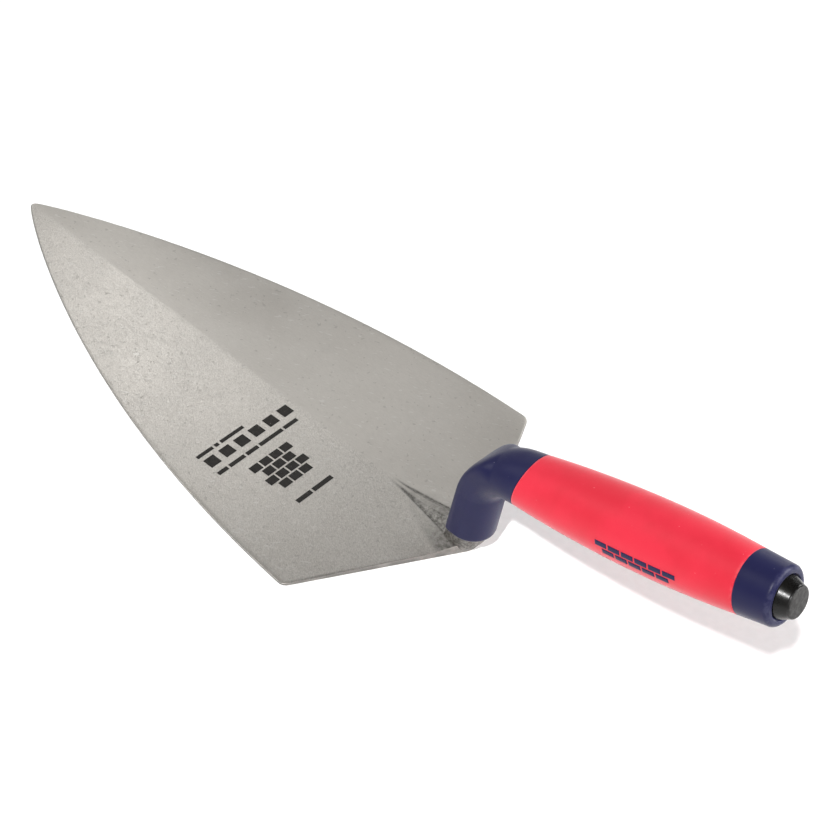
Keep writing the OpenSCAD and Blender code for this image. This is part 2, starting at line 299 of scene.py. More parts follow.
def d_ring(front, back, half, squareness, back_share, count, back_squareness=2.0):
    """Cross-section between a front and a back point of the side view: squarer in front, round behind."""
    angle = around(FINE_STEPS)
    c, s = np.cos(angle), np.sin(angle)
    p = np.where(c > 0, 2 / squareness, 2 / back_squareness)
    share = np.abs(c) ** p
    centre = np.asarray(back) + (np.asarray(front) - np.asarray(back)) * back_share
    tip = np.where((c > 0)[:, None], np.asarray(front), np.asarray(back))
    at = centre + (tip - centre) * share[:, None]
    y = -half * np.sign(s) * np.abs(s) ** p
    return even_ring(np.stack([at[:, 0], y, at[:, 1]], 1), count)


# ---------------------------------------------------------------- forged blade

# Rings round the blade's edge: how far inside the outline, how high over the floor or how deep under the top
# face, and how much painted shade darkens it. The first ring bounds the underside and the last one the top
# face.
LOWER_RINGS = ((0.25, 0.0, 0.12), (0.08, 0.05, 1.0), (0.0, 0.2, 0.88))
UPPER_RINGS = ((0.0, 0.3, 0.72), (0.03, 0.16, 0.50), (0.12, 0.04, 0.45), (0.3, 0.0, 0.0))

# Columns of the top face on either side: equal steps up to this share of the half width, then growing ones
DENSE_SHARE, DENSE_STEPS, WIDE_STEPS, WIDE_GROWTH = 0.23, 41, 25, 1.1

WAVE_LENGTH, WAVE_HEIGHT = 34.0, 0.035
FORGE_COARSE, FORGE_FINE, FORGE_HEIGHT = 1.9, 0.8, 0.05


def blade_part():
    """Underside, rounded edge and top face of the blade and its bolster."""
    half, normals = outline_half()
    last = len(half) - 1
    loop = np.concatenate([half, (half[1:-1] * [1, -1])[::-1]])
    loop_normals = np.concatenate([normals, (normals[1:-1] * [1, -1])[::-1]])
    n = len(loop)

    def ring(depth, height):
        return np.column_stack([loop - loop_normals * depth, np.broadcast_to(height, n)])

    inner = loop - loop_normals * UPPER_RINGS[-1][0]
    rim = top_z(inner[:, 0], inner[:, 1])
    rings = [ring(depth, height) for depth, height, _ in LOWER_RINGS]
    rings += [ring(depth, rim - below) for depth, below, _ in UPPER_RINGS]
    edge = np.repeat([dark for _, _, dark in LOWER_RINGS + UPPER_RINGS], n)
    faces, k = [], np.arange(n)
    for r in range(len(rings) - 1):
        a, b = r * n + k, r * n + np.roll(k, -1)
        faces += np.stack([a, b, b + n, a + n], 1).tolist()

    # underside: strips between the two halves of the lowest ring
    for i in range(1, last - 1):
        faces.append([i, i + 1, n - i - 1, n - i])
    faces += [[0, 1, n - 1], [last - 1, last, last + 1]]

    # top: rows across the blade, close together near the centreline
    dense = np.linspace(0, DENSE_SHARE, DENSE_STEPS + 1)
    wide = DENSE_SHARE + (1 - DENSE_SHARE) * np.linspace(0, 1, WIDE_STEPS + 1)[1:-1] ** WIDE_GROWTH
    side = np.concatenate([dense, wide])
    v = np.concatenate([-side[:0:-1], side])
    top, base, width = (len(rings) - 1) * n, len(rings) * n, len(v)
    flat = np.concatenate([np.stack([np.full(width, x), v * w], 1) for x, w in inner[1:last]])
    z = top_z(flat[:, 0], flat[:, 1])
    wave = WAVE_HEIGHT * lump(np.column_stack([flat, np.zeros(len(flat))]), WAVE_LENGTH, 1)
    margin = smoothstep(0, 0.06, 1 - np.abs(np.tile(v, last - 1)))
    skin_and_shade_amount = skin_and_shade_mask(flat[:, 0], flat[:, 1])
    raised = np.column_stack([flat, z])
    rough = lump(raised, FORGE_COARSE, 2) + 0.6 * lump(raised, FORGE_FINE, 3)
    z = z + wave * margin + FORGE_HEIGHT * rough * skin_and_shade_amount

    def at(i, j):
        """Vertex of row i and column j, with the ring itself at both ends of the row."""
        if j < 0:
            return top + (n - i) % n
        if j >= width:
            return top + i
        return base + (i - 1) * width + j

    for i in range(1, last - 1):
        for j in range(-1, width):
            faces.append([at(i, j), at(i + 1, j), at(i + 1, j + 1), at(i, j + 1)])
    for i, end in ((1, top), (last - 1, top + last)):
        for j in range(-1, width):
            faces.append([at(i, j), at(i, j + 1), end])
    points = np.concatenate([*rings, np.column_stack([flat, z])])
    forge = np.concatenate([np.zeros(base), skin_and_shade_amount])
    edge = np.concatenate([edge, np.zeros(len(flat))])
    coarse = 0.15 + 0.85 * smoothstep(1.5, -1.5, points[:, 1])  # grain only on the near face, with painted glints that make this lit side lighter
    return points, faces, {"forge": forge, "edge": edge, "coarse": coarse}


def skin_and_shade_mask(x, y):
    """How dark the steel is made, from 0 to 1: forged skin on the bolster's dish, flanks and crest, darker
    still in its creases, with painted shade from the hood that grows towards it.
    """
    b, off = x - BOLSTER_X, np.abs(y)
    crest_half, foot, dish_half = bolster_widths(np.maximum(b, 0))
    foot = foot + 0.09 * np.clip(b, BOLSTER_FADE[0], 0)
    on_dish = 1 - smoothstep(dish_half - 1.2, dish_half + 1.6, off)
    on_flank = 1 - smoothstep(foot, foot + 0.8, off)
    on_crest = 1 - smoothstep(crest_half, crest_half + 0.3, off)
    crease = np.exp(-((off - foot) / 0.7) ** 2) * smoothstep(-10, 3, b)
    dish = on_dish * (0.16 * smoothstep(0, 12, b) + 0.64 * smoothstep(14, 34, b))
    flank = (0.70 + 0.28 * smoothstep(6, 26, b)) * smoothstep(-9, 5, b)
    crest = (0.40 + 0.35 * smoothstep(6, 30, b)) * smoothstep(-2, 6, b)
    shade = dish + (flank - dish) * on_flank
    shade = shade + (crest - shade) * on_crest * on_flank
    return np.clip(shade + 0.5 * crease, 0, 1)


SHANK_WALL = 1.2
SHANK_POINTS, SHANK_SQUARENESS = 96, (3.5, 2.4)
SHANK_BUMP = 0.09
# where and how wide the painted shade runs down the heel's corner
CORNER_SHADE_X, CORNER_SHADE_WIDTH = BLADE_LENGTH - 3.7, 0.45
RIM_FRONT = np.array([BLADE_LENGTH - 11.6, RIM_HEIGHT])
RIM_BACK = RIM_FRONT + [HOOD_DEPTH, 0]


def shank_part():
    """The oval shank from the blade into the hood, and the tang from there to its end in the handle."""
    heel, tang = BLADE_LENGTH, TANG_THICKNESS / 2
    rows = [  # front point and back point of the side view, and half width
        ([heel - 17, 0.2], [heel - 1.8, 0.2], 7.6),
        ([heel - 13.5, 4], [heel + 0.8, 4], 8.2),
        (RIM_FRONT + [SHANK_WALL, 0], RIM_BACK - [SHANK_WALL, 0], HOOD_WIDTH / 2 - SHANK_WALL),
        ([heel - 8.2, 24], [heel + 4.4, 24], 8),
        ([heel - 4.6, 36], [heel + 4.6, 33.5], 6.8),
        (on_handle(-13, 4.8), on_handle(-8, -5.4), 5.6),
        (on_handle(-3, tang + 0.3), on_handle(-3, -tang - 0.3), 4.9),
        (on_handle(4, tang), on_handle(4, -tang), tang),
        (on_handle(TANG_LENGTH, 2.5), on_handle(TANG_LENGTH, -2.5), 2.5),
    ]
    seen_rows, all_rows = 2, len(rows) - 1
    key = np.arange(len(rows), dtype=float)
    front = np.array([r[0] for r in rows], float)
    back = np.array([r[1] for r in rows], float)
    half = np.array([r[2] for r in rows], float)
    steps = np.concatenate([np.linspace(0, seen_rows, 15)[:-1], np.linspace(seen_rows, all_rows, 25)])
    rings = []
    for t in steps:
        f = [np.interp(t, key, front[:, i]) for i in (0, 1)]
        b = [np.interp(t, key, back[:, i]) for i in (0, 1)]
        rings.append(d_ring(f, b, np.interp(t, key, half), SHANK_SQUARENESS[0], 0.55, SHANK_POINTS,
                            SHANK_SQUARENESS[1]))
    rings = np.array(rings)
    points, faces = skin(rings)
    level = np.repeat(np.clip(seen_rows + 1 - steps, 0, 1), SHANK_POINTS)
    bumpy = lump(points, 1.6, 4) + 0.5 * lump(points, 0.7, 5)
    out = points - rings.mean(1).repeat(SHANK_POINTS, axis=0)
    out /= np.linalg.norm(out, axis=1)[:, None] + 1e-9
    points = points + out * (SHANK_BUMP * bumpy * level)[:, None]
    points[:, 2] = np.maximum(points[:, 2], 0.1)
    # painted shade in a thin line down the heel's corner, where the bolster's side turns to the back
    corner_shade = np.exp(-((points[:, 0] - CORNER_SHADE_X) / CORNER_SHADE_WIDTH) ** 2) * smoothstep(-4, -6, points[:, 1])
    # the whole shank gets the dark colour of forged skin and painted shade
    return points, faces, {"forge": np.full(len(points), 0.95), "edge": corner_shade}


# ---------------------------------------------------------------- pieces of the handle

def meet(angle_a, dist_a, angle_b, dist_b):
    """Where two lines meet, each given by its normal's direction and its distance from the origin."""
    return np.array([dist_a * np.sin(angle_b) - dist_b * np.sin(angle_a),
                     dist_b * np.cos(angle_a) - dist_a * np.cos(angle_b)]) / np.sin(angle_b - angle_a)


TOP_NORMAL = np.pi / 2 + HANDLE_SLOPE + GRIP_FLARE
UNDER_NORMAL = HANDLE_SLOPE - GRIP_FLARE - np.pi / 2
FRONT_NORMAL, BACK_NORMAL = np.pi - FRONT_LEAN, -BACK_LEAN
HOOD_TOP = on_handle(TOP_S, float(grip_r(TOP_S)))
HOOD_UNDER = on_handle(BOTTOM_S, -float(grip_r(BOTTOM_S)))
NOSE_CENTRE = meet(FRONT_NORMAL, RIM_FRONT @ ray(FRONT_NORMAL) - NOSE_RADIUS,
                   TOP_NORMAL, HOOD_TOP @ ray(TOP_NORMAL) - NOSE_RADIUS)
CROOK_CENTRE = meet(BACK_NORMAL, RIM_BACK @ ray(BACK_NORMAL) + CROOK_RADIUS,
                    UNDER_NORMAL, HOOD_UNDER @ ray(UNDER_NORMAL) + CROOK_RADIUS)
LEG_SHARE, BEND_SHARE = 4 / 19, 18 / 19  # where the hood's straight leg and its bend end
RIM_SQUARENESS, RIM_ROUNDING = 6.0, 0.7
HOOD_POINTS = 144


def hood_side(t, rim, centre, radius, start, end, finish):
    """Point of the hood's side view at t from 0 at the rim to 1 at the sleeve."""
    if t < LEG_SHARE:
        return rim + (centre + ray(start, radius) - rim) * t / LEG_SHARE
    if t < BEND_SHARE:
        return centre + ray(start + (end - start) * (t - LEG_SHARE) / (BEND_SHARE - LEG_SHARE), radius)
    last = centre + ray(end, radius)
    return last + (finish - last) * (t - BEND_SHARE) / (1 - BEND_SHARE)


def hood_ring(t, shrink=0.0):
    """Cross-section of the hood at t, squared at the rim and round at the sleeve."""
    front = hood_side(t, RIM_FRONT, NOSE_CENTRE, NOSE_RADIUS, FRONT_NORMAL, TOP_NORMAL, HOOD_TOP)
    back = hood_side(t, RIM_BACK, CROOK_CENTRE, -CROOK_RADIUS, BACK_NORMAL, UNDER_NORMAL, HOOD_UNDER)
    bend = max(0.0, (t - LEG_SHARE) / (1 - LEG_SHARE))
    half = HOOD_WIDTH / 2 + (FRONT_R - HOOD_WIDTH / 2) * bend
    squareness = RIM_SQUARENESS + (2 - RIM_SQUARENESS) * smoothstep(0.42, 0.72, bend)
    across = (front - back) / np.linalg.norm(front - back)
    return d_ring(front - across * shrink, back + across * shrink, half - shrink,
                  squareness, 0.6 - 0.1 * bend, HOOD_POINTS)


def hood_part():
    """The hood from its rounded rim over the lift, closed by a shallow dome in the sleeve's front."""
    rings, wear = [], []
    for angle in np.radians([0, 22, 45, 68]):
        ring = hood_ring(0, RIM_ROUNDING * (1 - np.sin(angle)))
        ring[:, 2] += RIM_ROUNDING * (1 - np.cos(angle))
        rings.append(ring)
        wear.append(0.8)
    first = RIM_ROUNDING / (NOSE_CENTRE[1] - RIM_HEIGHT) * LEG_SHARE
    for t in np.concatenate([np.linspace(first, LEG_SHARE, 22)[:-1], np.linspace(LEG_SHARE, 1, 96)]):
        rings.append(hood_ring(t))
        wear.append(0.0)
    end = rings[-1]
    centre = end.mean(0)
    along = np.cos(SLEEVE_SLANT) * AXIS - np.sin(SLEEVE_SLANT) * UP
    for inset_by, forward, worn in ((0.12, 0.03, 0.3), (0.3, 0.12, 0.3), (1.4, 0.5, 0.0), (3.0, 0.6, 0.0)):
        rings.append(centre + (end - centre) * (1 - inset_by / FRONT_R) + along * forward)
        wear.append(worn)
    points, faces = skin(np.array(rings))
    return points, faces, {"wear": np.repeat(wear, HOOD_POINTS)}


LATHE_POINTS = 128


def lathe(rows):
    """Solid of revolution about the handle's axis, from rows of radius, s along the axis, and wear."""
    points, faces = skin(np.array([around_handle(r, around(LATHE_POINTS), s) for r, s, _ in rows]))
    return points, faces, {"wear": np.repeat([wear for _, _, wear in rows], LATHE_POINTS)}


def barrel_part():
    """The core under the sleeve, from inside the hood to inside the collar."""
    along = np.linspace(BOTTOM_S - 1, SLEEVE_END - 0.5, 40)
    return lathe([(float(grip_r(s)) - SLEEVE_WALL - 0.02, s, 0.0) for s in along])


def collar_part():
    """The tapered collar, with a rounded lip round the cap's seat."""
    front, back = float(grip_r(SLEEVE_END)), COLLAR_END_DIAMETER / 2
    seat_r, seat_s = CAP_BASE / 2 + SEAT_GAP, HANDLE_LENGTH - SEAT_DEPTH
    lip_s = HANDLE_LENGTH - COLLAR_LIP
    rows = [(front - SLEEVE_WALL, SLEEVE_END - 1.0, 0.0), (front - 0.5, SLEEVE_END - 0.02, 0.1),
            (front - 0.16, SLEEVE_END + 0.04, 0.3), (front, SLEEVE_END + 0.25, 0.3)]
    rows += [(front + (back - front) * t, SLEEVE_END + (lip_s - SLEEVE_END) * t, 0.0)
             for t in np.linspace(0, 1, 24)[1:-1]]
    rows += [(back - COLLAR_LIP + COLLAR_LIP * np.cos(a), lip_s + COLLAR_LIP * np.sin(a), 0.9 * np.sin(2 * a))
             for a in np.linspace(0, np.pi / 2, 14)]
    rows += [(seat_r + 0.25, HANDLE_LENGTH, 0.5), (seat_r + 0.06, HANDLE_LENGTH - 0.08, 0.5),
             (seat_r, HANDLE_LENGTH - 0.3, 0.0), (seat_r, seat_s, 0.0),
             (SPIGOT_DIAMETER / 2 + 0.2, seat_s, 0.0)]
    return lathe(rows)


SLEEVE_POINTS = 144
SLEEVE_ROUNDING = 0.4
END_ROUNDING = ((0.0, 0.36), (0.06, 0.14), (0.22, 0.03), (0.6, 0.0))  # depth, and distance from the end
SLANT_PASSES = 12  # rounds of working out the slanted edge, far more than it needs to settle


def sleeve_part():
    """The soft sleeve as a tube with rounded ends, slanted in front."""
    angle = around(SLEEVE_POINTS)
    edge = np.full(SLEEVE_POINTS, SLANT_S)
    for _ in range(SLANT_PASSES):
        edge = SLANT_S - grip_r(edge) * np.cos(angle) * np.tan(SLEEVE_SLANT)
    rings, wear = [], []

    def add(s, depth, worn):
        rings.append(around_handle(grip_r(s) - depth, angle, s))
        wear.append(worn)

    for depth, behind, worn in ((SLEEVE_WALL, 0.05, 0.2), *((d, b, 0.8) for d, b in END_ROUNDING[::-1])):
        add(edge + behind, depth, worn)
    for t in np.linspace(0, 1, 110)[1:-1]:
        add(edge + SLEEVE_ROUNDING + (SLEEVE_END - edge - 2 * SLEEVE_ROUNDING) * t, 0.0, 0.0)
    for depth, ahead, worn in (*((d, a, 0.8) for d, a in END_ROUNDING), (SLEEVE_WALL, 0.0, 0.2)):
        add(SLEEVE_END - ahead, depth, worn)
    for t in np.linspace(1, 0, 30)[1:-1]:
        add(edge + 0.05 + (SLEEVE_END - edge - 0.05) * t, SLEEVE_WALL, 0.0)
    points, faces = skin(np.array(rings), (False, False))
    last = (len(rings) - 1) * SLEEVE_POINTS
    for k in range(SLEEVE_POINTS):
        m = (k + 1) % SLEEVE_POINTS
        faces.append([last + k, k, m, last + m])
    return points, faces, {"wear": np.repeat(wear, SLEEVE_POINTS)}


MARK_START, MARK_DROP, MARK_BRICK, MARK_COURSE, MARK_JOINT = 44.0, 2.0, 5.0, 2.0, 0.8
MARK_RELIEF, MARK_BRICKS = 0.3, 6
SHORT_SIDE_STEPS, LONG_SIDE_STEPS = 4, 10


def brick_parts():
    """Two courses of plain bricks raised out of the left flank of the grip."""
    steps = [(0, -0.5), (0, 0.6 * MARK_RELIEF), (0.1, 0.9 * MARK_RELIEF), (0.28, MARK_RELIEF)]
    bricks = []
    for course in (0, 1):
        for k in range(MARK_BRICKS - course):
            x0 = MARK_DROP + (course - 0.5) * (MARK_COURSE + MARK_JOINT) - MARK_COURSE / 2
            s0 = MARK_START + (k + course / 2) * (MARK_BRICK + MARK_JOINT)
            rings = [brick_ring(x0 + inset_by, x0 + MARK_COURSE - inset_by,
                                s0 + inset_by, s0 + MARK_BRICK - inset_by, lift) for inset_by, lift in steps]
            points, faces = skin(np.array(rings))
            bricks.append((points, faces, {"wear": np.full(len(points), 0.15)}))
    return bricks


def brick_ring(x0, x1, s0, s1, lift):
    """Closed line round one brick's outline, on the grip's surface raised by lift."""
    corners = [(x0, s0), (x1, s0), (x1, s1), (x0, s1)]
    line = []
    for k in range(4):
        a, b = np.array(corners[k]), np.array(corners[(k + 1) % 4])
        count = SHORT_SIDE_STEPS if k % 2 == 0 else LONG_SIDE_STEPS
        line += [a + (b - a) * j / count for j in range(count)]
    line = np.array(line)
    r = grip_r(line[:, 1]) + lift
    return around_handle(r, -np.arccos(line[:, 0] / r), line[:, 1])


def cap_part():
    """The tapered cap with its spigot and snap bead."""
    base, face, spigot = CAP_BASE / 2, CAP_FACE / 2, SPIGOT_DIAMETER / 2
    base_s, face_s = HANDLE_LENGTH - SEAT_DEPTH, HANDLE_LENGTH + CAP_HEIGHT
    end_s, bead_s, edge_s = base_s - SPIGOT_LENGTH, base_s - BEAD_FROM_BASE, face_s - CAP_EDGE
    side_r = base - 0.02
    rows = [(spigot - 0.5, end_s, 0), (spigot, end_s + 0.5, 0), (spigot, bead_s - 1.5, 0),
            (spigot + BEAD_HEIGHT, bead_s, 0), (spigot, bead_s + 1.5, 0), (spigot, base_s, 0),
            (base - 0.15, base_s, 0), (base, base_s + 0.15, 0), (base, HANDLE_LENGTH - 0.1, 0)]
    rows += [(side_r + (face - side_r) * t, HANDLE_LENGTH + (edge_s - HANDLE_LENGTH) * t, 0)
             for t in np.linspace(0, 1, 14)]
    rows += [(face - CAP_EDGE + CAP_EDGE * np.cos(a), edge_s + CAP_EDGE * np.sin(a), 0.9 * np.sin(2 * a))
             for a in np.linspace(0, np.pi / 2, 12)[1:]]
    rows += [(r, face_s, 0.12) for r in (4.4, 3.2, 2.0, 0.8)]
    points, faces, masks = lathe(rows)
    masks["face"] = (points @ AXIS > START @ AXIS + face_s - 0.3).astype(float)
    return points, faces, masks


# ---------------------------------------------------------------- printed mark on the blade

INK_LIFT, INK_DEPTH = 0.07, 0.21  # how far the ink stands over the steel and reaches into it
INK_TILT = np.radians(2.6)
INK_ORIGIN = np.array([172.0, -50.5])
INK_STEP = 1.5


def ink_shapes():
    """A generic printed block of plain bars and a brick-bond panel, as (along, across, length, height)."""
    small_line = [(start, 0.3, length, 1.7) for start, length in ((0, 8.6), (9.8, 2.0), (13.0, 12.6))]
    large_line = [(0.6 + k * 8.2, 4.0, 5.4, 5.2) for k in range(6)]
    middle_line = [(start, 12.4, length, 1.9)
                   for start, length in ((0, 5.2), (6.2, 8.4), (15.6, 6.4), (23.0, 12.8), (36.8, 7.6))]
    panel = [(10.5 + 5.6 * (k + course % 2 / 2), 19.5 + course * 4.6, 4.8, 3.8)
             for course in range(4) for k in range(4 - course % 2)]
    last_line = [(start, 44.5, length, 2.2) for start, length in ((11.5, 8.0), (20.5, 10.6))]
    return small_line + large_line + middle_line + panel + last_line


def ink_parts():
    """Each shape of the printed block as a thin plate that follows the blade's near face."""
    turn = np.array([[np.cos(INK_TILT), -np.sin(INK_TILT)], [np.sin(INK_TILT), np.cos(INK_TILT)]])
    plates = []
    for along, across, length, height in ink_shapes():
        na, nc = max(2, int(length / INK_STEP)), max(2, int(height / INK_STEP))
        a, c = np.linspace(along, along + length, na + 1), np.linspace(across, across + height, nc + 1)
        grid_c, grid_a = np.meshgrid(c, a, indexing="ij")
        local = np.stack([grid_c.ravel(), grid_a.ravel()], 1) @ turn.T + INK_ORIGIN
        z = top_z(local[:, 0], local[:, 1])
        points = np.concatenate([np.column_stack([local, z + lift]) for lift in (INK_LIFT, -INK_DEPTH)])
        size, columns = len(local), na + 1
        faces = []
        for i in range(nc):
            for j in range(na):
                q = [i * columns + j, i * columns + j + 1, (i + 1) * columns + j + 1, (i + 1) * columns + j]
                faces += [q, [size + m for m in q[::-1]]]
        border = ([j for j in range(na)] + [i * columns + na for i in range(nc)]
                  + [nc * columns + j for j in range(na, 0, -1)] + [i * columns for i in range(nc, 0, -1)])
        for k, m in enumerate(border):
            following = border[(k + 1) % len(border)]
            faces.append([m, following, size + following, size + m])
        plates.append((points, faces, {}))
    return plates


# ---------------------------------------------------------------- materials

class Recipe:
    """A node material under construction: short names for the nodes that the materials below share."""

    def __init__(self, name):
        self.material = bpy.data.materials.new(name)
        self.material.use_nodes = True
        self.tree = self.material.node_tree
        self.tree.nodes.clear()
        self.output = self.node("ShaderNodeOutputMaterial")
        self.shader = self.node("ShaderNodeBsdfPrincipled")
        self.link(self.shader.outputs[0], self.output.inputs["Surface"])
        self.place = self.node("ShaderNodeTexCoord").outputs["Object"]

    def node(self, kind, **settings):
        made = self.tree.nodes.new(kind)
        for key, value in settings.items():
            setattr(made, key, value)
        return made

    def link(self, source, target):
        self.tree.links.new(source, target)

    def feed(self, value, target):
        if isinstance(value, bpy.types.NodeSocket):
            self.link(value, target)
        else:
            target.default_value = value

    def stretched(self, x, y, z, turn=0.0):
        """Coordinates with a scale of their own along each axis, the axes turned about Z."""
        made = self.node("ShaderNodeMapping", vector_type="TEXTURE")
        self.link(self.place, made.inputs["Vector"])
        made.inputs["Scale"].default_value = (1 / x, 1 / y, 1 / z)
        made.inputs["Rotation"].default_value = (0, 0, turn)
        return made.outputs[0]

    def noise(self, scale, detail, roughness, vector=None):
        made = self.node("ShaderNodeTexNoise")
        self.link(self.place if vector is None else vector, made.inputs["Vector"])
        made.inputs["Scale"].default_value = scale
        made.inputs["Detail"].default_value = detail
        made.inputs["Roughness"].default_value = roughness
        return made.outputs["Fac"]

    def ranged(self, value, low, high, to_low=0.0, to_high=1.0):
        made = self.node("ShaderNodeMapRange", interpolation_type="SMOOTHSTEP")
        self.link(value, made.inputs["Value"])
        for key, number in (("From Min", low), ("From Max", high), ("To Min", to_low), ("To Max", to_high)):
            made.inputs[key].default_value = number
        return made.outputs[0]

    def maths(self, operation, a, b, clamp=False):
        made = self.node("ShaderNodeMath", operation=operation, use_clamp=clamp)
        self.feed(a, made.inputs[0])
        self.feed(b, made.inputs[1])
        return made.outputs[0]

    def mask(self, name):
        return self.node("ShaderNodeAttribute", attribute_name=name).outputs["Fac"]

    def mixed(self, share, a, b):
        made = self.node("ShaderNodeMix", data_type="RGBA")
        self.feed(share, made.inputs[0])
        self.feed(a if isinstance(a, bpy.types.NodeSocket) else (*a, 1.0), made.inputs[6])
        self.feed(b if isinstance(b, bpy.types.NodeSocket) else (*b, 1.0), made.inputs[7])
        return made.outputs[2]

    def bump(self, height, strength, distance, below=None):
        made = self.node("ShaderNodeBump")
        self.link(height, made.inputs["Height"])
        made.inputs["Strength"].default_value = strength
        made.inputs["Distance"].default_value = distance
        if below is not None:
            self.link(below, made.inputs["Normal"])
        return made.outputs[0]

    def finish(self, colour, roughness, normal, **plain):
        self.link(colour, self.shader.inputs["Base Color"])
        self.feed(roughness, self.shader.inputs["Roughness"])
        if normal is not None:
            self.link(normal, self.shader.inputs["Normal"])
        for key, value in plain.items():
            self.shader.inputs[key.replace("_", " ")].default_value = value
        return self.material


GRAIN_TURN = np.radians(140)
# The light grain colour paints glints on the lit near face; the edge colour is painted shade.
DARK_GRAIN, GLINT_GRAIN, EDGE_PAINTED_SHADE = (0.36, 0.34, 0.31), (0.80, 0.775, 0.73), (0.10, 0.095, 0.088)


def steel():
    """Ground steel with streaks, grain, nicks and flecks; painted glints on the lit near face; dark forged
    skin with painted shade towards the hood; painted shade on the edges.
    """
    m = Recipe("ground_steel")
    forge, edge, coarse = m.mask("forge"), m.mask("edge"), m.mask("coarse")
    pebble = m.noise(1.0, 2.0, 0.7, m.stretched(850, 1700, 1300, GRAIN_TURN))
    glint_noise = m.noise(1.0, 1.0, 0.6, m.stretched(1300, 2400, 2000, GRAIN_TURN))
    streaks = m.noise(1.0, 2.0, 0.6, m.stretched(330, 1300, 900, 0.1))
    cloud = m.noise(30, 4.0, 0.55)
    patches = m.noise(95, 3.0, 0.6)
    colour = m.mixed(m.ranged(cloud, 0.35, 0.65), (0.605, 0.575, 0.530), (0.640, 0.611, 0.566))
    colour = m.mixed(m.ranged(streaks, 0.35, 0.7, 0.0, 0.10), colour, (0.42, 0.40, 0.37))
    pebble_dark = m.maths("MULTIPLY", coarse, m.ranged(pebble, 0.36, 0.54, 0.33, 0.0))
    colour = m.mixed(pebble_dark, colour, DARK_GRAIN)
    # painted glints: light specks on the near face, where the light falls
    painted_glints = m.maths("MULTIPLY", coarse, m.ranged(glint_noise, 0.50, 0.64, 0.0, 0.46))
    colour = m.mixed(painted_glints, colour, GLINT_GRAIN)
    colour = m.mixed(m.ranged(patches, 0.58, 0.74, 0.0, 0.07), colour, DARK_GRAIN)

    nicks = m.ranged(m.noise(520, 1.0, 0.4), 0.70, 0.74)
    flecks = m.ranged(m.noise(1.0, 1.0, 0.4, m.stretched(330, 760, 500, 0.6)), 0.68, 0.72)
    colour = m.mixed(m.maths("MULTIPLY", nicks, 0.30), colour, (0.30, 0.285, 0.26))
    colour = m.mixed(m.maths("MULTIPLY", flecks, 0.42), colour, (0.76, 0.745, 0.71))

    scale_noise = m.noise(800, 3.0, 0.65)
    # dark forged skin, and painted shade from the hood that deepens towards it
    skin_and_shade_colour = m.mixed(m.ranged(scale_noise, 0.38, 0.62), (0.12, 0.115, 0.105), (0.26, 0.25, 0.235))
    worn_skin = m.ranged(m.noise(300, 3.0, 0.6), 0.25, 0.6, 0.8, 1.15)
    skin_and_shade_share = m.maths("MULTIPLY", forge, worn_skin, clamp=True)
    colour = m.mixed(skin_and_shade_share, colour, skin_and_shade_colour)
    # painted shade along the blade's edges and down the heel's corner
    edge_shade_share = m.maths("MULTIPLY", edge, m.ranged(m.noise(160, 3.0, 0.6), 0.3, 0.6, 0.8, 1.0), clamp=True)
    colour = m.mixed(edge_shade_share, colour, EDGE_PAINTED_SHADE)

    roughness = m.maths("ADD", m.ranged(cloud, 0.3, 0.7, 0.35, 0.40),
                        m.ranged(streaks, 0.3, 0.7, -0.02, 0.03))
    roughness = m.maths("ADD", roughness, m.maths("MULTIPLY", forge, 0.2))
    normal = m.bump(streaks, 0.10, 0.0001)
    normal = m.bump(m.maths("MULTIPLY", pebble, coarse), 0.45, 0.0001, normal)
    normal = m.bump(m.maths("SUBTRACT", flecks, nicks), 0.35, 0.0001, normal)
    normal = m.bump(m.maths("MULTIPLY", scale_noise, forge), 0.5, 0.0003, normal)
    return m.finish(colour, roughness, normal, Metallic=0.95)


def moulded(name, base, lighter, worn, rough, speck):
    """What the moulded materials share: clouds, worn edges, dust specks and a fine grain."""
    m = Recipe(name)
    wear = m.mask("wear")
    cloud = m.noise(60, 3.0, 0.5)
    fine = m.noise(1500, 2.0, 0.55)
    broken = m.noise(420, 3.0, 0.6)
    colour = m.mixed(m.ranged(cloud, 0.35, 0.65), base, lighter)
    worn_share = m.maths("MULTIPLY", wear, m.ranged(broken, 0.42, 0.62, 0.05, 0.6), clamp=True)
    colour = m.mixed(worn_share, colour, worn)
    dust = m.ranged(m.noise(700, 1.0, 0.4), 0.80, 0.83, 0.0, 0.35)
    colour = m.mixed(dust, colour, speck)
    roughness = m.maths("ADD", m.ranged(cloud, 0.3, 0.7, rough - 0.04, rough + 0.04),
                        m.ranged(fine, 0.3, 0.7, -0.03, 0.04))
    normal = m.bump(fine, 0.10, 0.0001)
    normal = m.bump(m.noise(220, 2.0, 0.5), 0.06, 0.0004, normal)
    return m, colour, roughness, normal


def navy_plastic():
    m, colour, roughness, normal = moulded(
        "navy_plastic", base=(0.0105, 0.0110, 0.052), lighter=(0.0135, 0.0140, 0.059),
        worn=(0.06, 0.06, 0.12), rough=0.42, speck=(0.30, 0.30, 0.36))
    return m.finish(colour, roughness, normal, Specular_IOR_Level=0.2, Sheen_Weight=0.12, Sheen_Roughness=0.3)


def red_grip():
    m, colour, roughness, normal = moulded(
        "red_soft_grip", base=(0.66, 0.0165, 0.038), lighter=(0.72, 0.0205, 0.047),
        worn=(0.72, 0.08, 0.10), rough=0.55, speck=(0.75, 0.35, 0.36))
    return m.finish(colour, roughness, normal, Specular_IOR_Level=0.3, Sheen_Weight=0.25, Sheen_Roughness=0.4)


